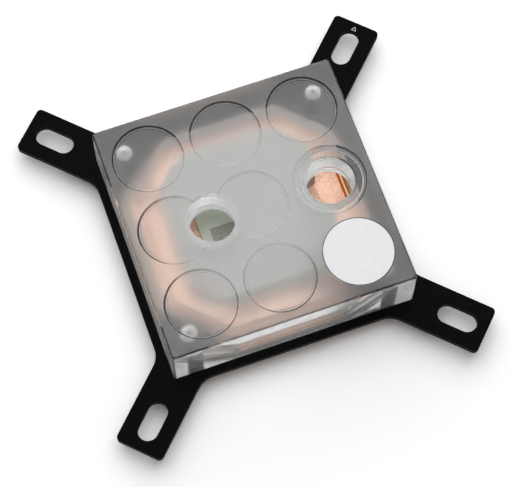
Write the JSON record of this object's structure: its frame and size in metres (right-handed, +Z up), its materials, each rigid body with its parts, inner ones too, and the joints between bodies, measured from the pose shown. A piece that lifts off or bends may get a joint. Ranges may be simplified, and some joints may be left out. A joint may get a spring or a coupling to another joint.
{
  "type": "processor water block",
  "caption": "Square liquid cooling block for a processor: clear plastic top with threaded ports, finned copper cold plate and a cross-shaped slotted mounting plate.",
  "frame": {"origin": "centre of the cold plate's contact face", "axes": "+Z up through the clear top, away from the processor; +X towards the outlet port; the block's sides lie along X and Y"},
  "size_m": [0.0974, 0.0974, 0.02],
  "materials": {
    "clear_acrylic": "clear acrylic, polished outside and frosted where it is milled below",
    "black_coated_steel": "steel sheet with a satin black coating",
    "copper": "bare milled copper",
    "stainless_sheet": "thin rolled stainless sheet",
    "frosted_acrylic": "clear acrylic, milled all over and frosted",
    "seal_rubber": "black sealing rubber",
    "insert_seal_silicone": "natural silicone rubber",
    "badge_aluminium": "satin silver disc, bare",
    "adhesive_film": "double-sided adhesive film",
    "screw_steel": "blackened steel"
  },
  "bodies": {
    "root": {"clear_top": "clear_acrylic", "mounting_plate": "black_coated_steel", "cold_plate": "copper", "jet_plate": "stainless_sheet", "jet_insert": "frosted_acrylic", "outer_seal": "seal_rubber", "insert_seal": "insert_seal_silicone", "badge": "badge_aluminium", "badge_adhesive": "adhesive_film", "screw_front_left": "screw_steel", "screw_front_right": "screw_steel", "screw_rear_right": "screw_steel", "screw_rear_left": "screw_steel"}
  },
  "joints": []
}
